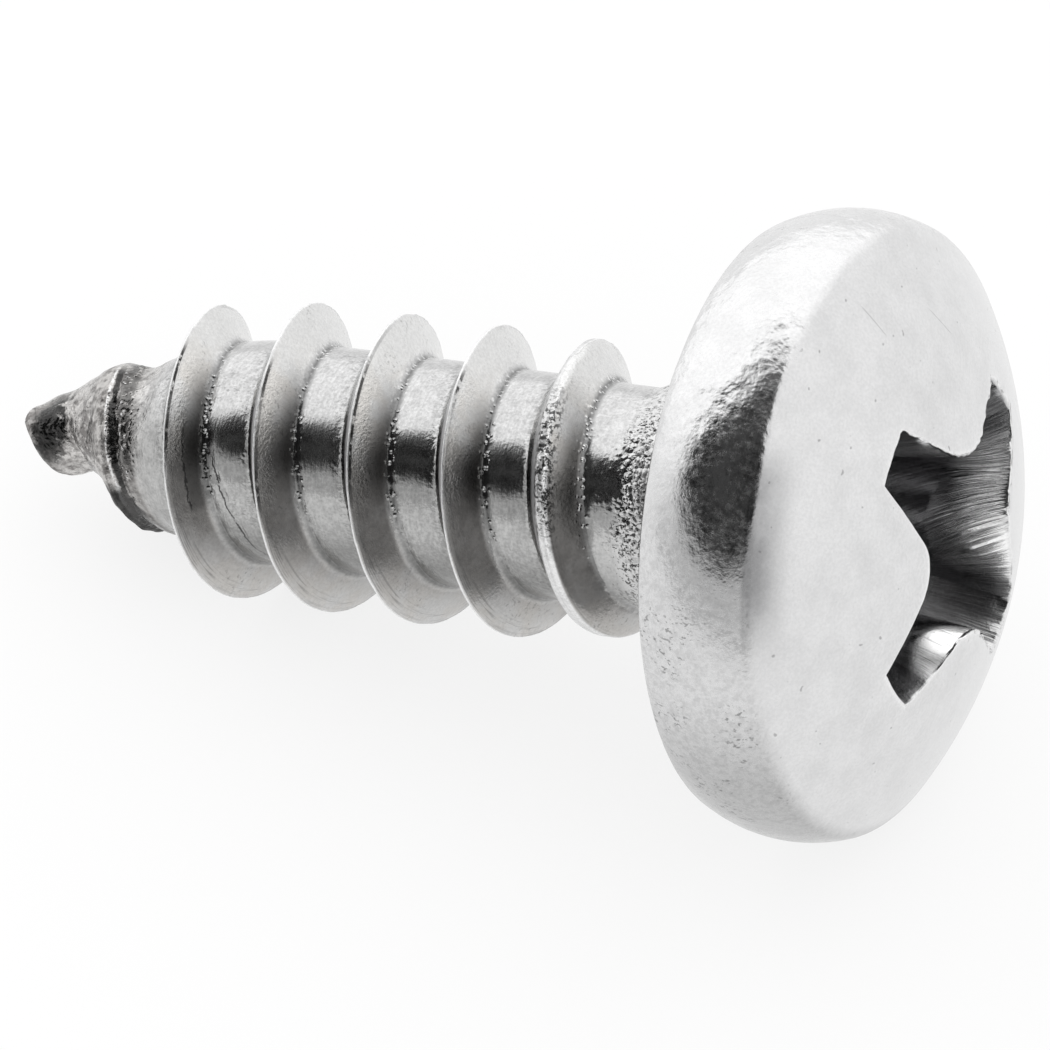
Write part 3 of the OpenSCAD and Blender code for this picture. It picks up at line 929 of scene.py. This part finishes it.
for term in HEIGHTS[1:]:
    relief = n.plus(relief, n.product(*term))
bump = n.add("ShaderNodeBump", {"Strength": 1.0, "Distance": MM, "Height": relief})
n.put(shader.inputs["Normal"], bump)
body.data.materials.append(steel)

# ---- floor, light and camera ----

FLOOR_R = 0.6
WHITE = grey(1)
bpy.ops.mesh.primitive_circle_add(vertices=96, radius=FLOOR_R, fill_type="NGON", location=(0, 0, 0))
floor = bpy.context.object
floor.name = "studio_floor"
paper = bpy.data.materials.new("floor_paint")
paper.use_nodes = True
n = Nodes(paper.node_tree)
matte = n.add("ShaderNodeBsdfDiffuse", {"Color": grey(0.95)})
pale = n.add("ShaderNodeEmission", {"Color": WHITE, "Strength": 1.0})
rays = n.add("ShaderNodeLightPath").outputs
seen = n.most(rays["Is Camera Ray"], rays["Is Glossy Ray"], rays["Is Transmission Ray"])
both = n.add("ShaderNodeMixShader", {0: n.product(seen, 0.78), 1: matte, 2: pale})
n.put(paper.node_tree.nodes["Material Output"].inputs["Surface"], both)
floor.data.materials.append(paper)

studio = bpy.data.worlds.new("studio")
bpy.context.scene.world = studio
studio.use_nodes = True
n = Nodes(studio.node_tree)
ray = n.add("ShaderNodeTexCoord").outputs["Generated"]
rad = math.radians
away = n.math("ARCCOSINE", n.dot(ray, tuple(axis)))                  # angle from the head's direction
round_it = n.math("ARCTAN2", n.dot(ray, tuple(y_side)), n.dot(ray, tuple(x_side)))


def toward(turn_deg, away_deg):
    """The world direction at a turn about the screw's axis and an angle from its head's direction."""
    a = rad(away_deg)
    return tuple(side_of_screw(turn_deg) * math.sin(a) + axis * math.cos(a))


# the white tent has a dark oval opening about the camera, and a second one beside it
OPENING_TURN, OPENING_AWAY = rad(80), rad(81.5)
OPENING_HALF_TURN, OPENING_HALF_AWAY = rad(33), rad(55)
across_it = n.math("DIVIDE", n.minus(round_it, OPENING_TURN), OPENING_HALF_TURN)
along_it = n.math("DIVIDE", n.minus(away, OPENING_AWAY), OPENING_HALF_AWAY)
oval = n.plus(n.product(across_it, across_it), n.product(along_it, along_it))
opening = n.span(oval, 0.82, 1.14, 1.0, 0.0)
beside = n.product(n.window(round_it, rad(22), rad(40), rad(58), rad(70)),
                   n.window(away, rad(45), rad(58), rad(88), rad(106)), 0.92)
unlit = n.most(opening, beside)
inside = n.span(n.noise(ray, 6.0, 1.0, 0.6), 0.4, 0.62, 0.01, 0.075)  # what shows through the opening

# the tent's cloth is brighter on one side and shaded on the other
bright = n.span(n.dot(ray, toward(10, 110)), 0.25, 0.9, 0.0, 0.32)
shade = n.plus(n.span(n.dot(ray, toward(150, 105)), 0.1, 0.8, 0.0, 0.4),
               n.span(n.dot(ray, toward(135, 26)), 0.92, 0.99, 0.0, 0.25))
cloth = n.minus(n.plus(bright, 1.05), shade)
level = n.plus(n.product(cloth, n.without(unlit)), n.product(unlit, inside))
rays = n.add("ShaderNodeLightPath").outputs
level = n.most(level, rays["Is Camera Ray"], rays["Is Diffuse Ray"])
background = studio.node_tree.nodes["Background"]
n.put(background.inputs["Strength"], level)
background.inputs["Color"].default_value = WHITE

TARGET = Vector((-3.3455, -1.5434, -0.0781)) * MM                     # from the bearing face's middle
AZIMUTH, ELEVATION, DISTANCE = rad(23.414), rad(48.077), 162.68 * MM
FOCAL_LENGTH, SENSOR_WIDTH = 373.44, 36.0
back = Vector((math.sin(AZIMUTH) * math.cos(ELEVATION), -math.cos(AZIMUTH) * math.cos(ELEVATION),
               math.sin(ELEVATION)))
lens = bpy.data.cameras.new("camera")
lens.sensor_width = SENSOR_WIDTH
lens.lens = FOCAL_LENGTH
lens.clip_start, lens.clip_end = 0.01, 5.0
camera = bpy.data.objects.new("camera", lens)
bpy.context.scene.collection.objects.link(camera)
camera.location = bearing + TARGET + back * DISTANCE
camera.rotation_euler = (-back).to_track_quat("-Z", "Y").to_euler()
bpy.context.scene.camera = camera
bpy.context.scene.view_settings.view_transform = "Standard"

bpy.context.view_layer.update()
